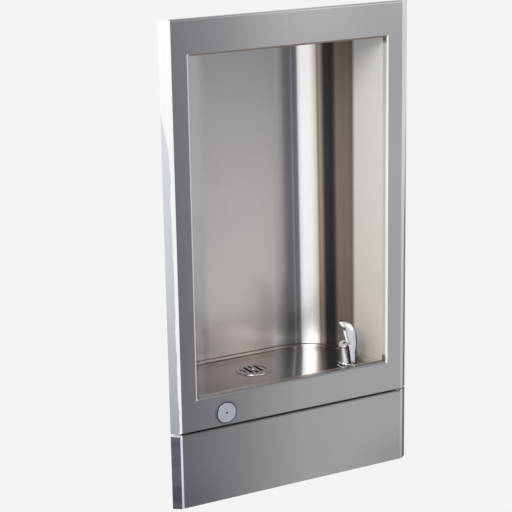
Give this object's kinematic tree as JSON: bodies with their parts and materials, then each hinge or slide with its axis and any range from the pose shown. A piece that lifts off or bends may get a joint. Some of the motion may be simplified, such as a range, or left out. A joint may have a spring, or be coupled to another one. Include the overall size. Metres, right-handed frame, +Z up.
{
  "type": "recessed drinking fountain",
  "caption": "Recessed wall drinking fountain: bevelled steel front, deep rounded alcove with hooded bubbler and floor drain, push button, access panel and valve.",
  "frame": {"origin": "middle of the rectangle of the four wall bolt holes, on the plane of the wall (the back of the wall flange)", "axes": "+Z up, +Y into the wall, +X to the right as seen from the front, which faces -Y"},
  "size_m": [0.458, 0.1878, 0.81],
  "materials": {
    "face_steel": "vertical brushed stainless steel",
    "alcove_steel": "satin stainless steel",
    "frame_steel": "galvanised steel",
    "fastener_steel": "bright zinc plated steel",
    "bubbler_chrome": "polished chrome",
    "fitting_chrome": "satin chrome",
    "brass": "machined brass",
    "tube_copper": "drawn copper",
    "rubber": "black rubber",
    "spring_steel": "oiled spring steel"
  },
  "bodies": {
    "fixture": {"front_panel": "face_steel", "panel_nuts": "fastener_steel", "panel_brackets": "frame_steel", "mounting_frame": "frame_steel", "frame_cleats": "frame_steel", "hook_cleats": "frame_steel", "fixing_tabs": "frame_steel", "tab_screws": "fastener_steel", "alcove_wall": "alcove_steel", "alcove_ceiling": "alcove_steel", "basin": "alcove_steel", "bubbler_base": "bubbler_chrome", "bubbler_hood": "bubbler_chrome", "bubbler_nozzle": "bubbler_chrome", "bubbler_orifice": "brass", "bubbler_gasket": "rubber", "bubbler_washer": "brass", "bubbler_locknut": "brass", "drain_flange": "fitting_chrome", "drain_strainer": "fitting_chrome", "strainer_screw": "fastener_steel", "drain_gasket": "rubber", "drain_washer": "brass", "drain_locknut": "brass", "drain_coupling_nut": "brass", "tailpiece": "fitting_chrome", "button_bezel": "fitting_chrome", "button_locknut": "brass", "button_spring": "spring_steel", "valve_bonnet": "brass", "valve_body": "brass", "outlet_tube": "tube_copper", "inlet_tube": "tube_copper", "strainer_tube": "tube_copper", "compression_nuts": "brass", "line_strainer": "brass", "stop_valve": "fitting_chrome"},
    "access_panel": {"access_panel": "face_steel", "panel_screws": "fastener_steel"},
    "push_button": {"push_button": "fitting_chrome", "push_rod": "fastener_steel", "valve_seal": "rubber"},
    "regulator_screw": {"regulator_screw": "fastener_steel"},
    "stop_handle": {"stop_handle": "fitting_chrome", "stop_stem": "brass", "handle_screw": "fastener_steel"}
  },
  "joints": [
    {"name": "panel_drop", "type": "slide", "parent": "fixture", "child": "access_panel", "axis": [0, 0, -1], "range_m": [0, 0.016]},
    {"name": "button_push", "type": "slide", "parent": "fixture", "child": "push_button", "axis": [0, 1, 0], "range_m": [0, 0.004], "stiffness_N_per_m": 1500, "springref_m": -0.004, "deforming": ["button_spring"]},
    {"name": "regulator_turn", "type": "hinge", "parent": "fixture", "child": "regulator_screw", "pos_m": [-0.145, 0.024, -0.247], "axis": [1, 0, 0], "range_deg": [-180, 180]},
    {"name": "stop_turn", "type": "hinge", "parent": "fixture", "child": "stop_handle", "pos_m": [-0.131, 0.01, -0.354], "axis": [0, 1, 0], "range_deg": [0, 90]}
  ]
}
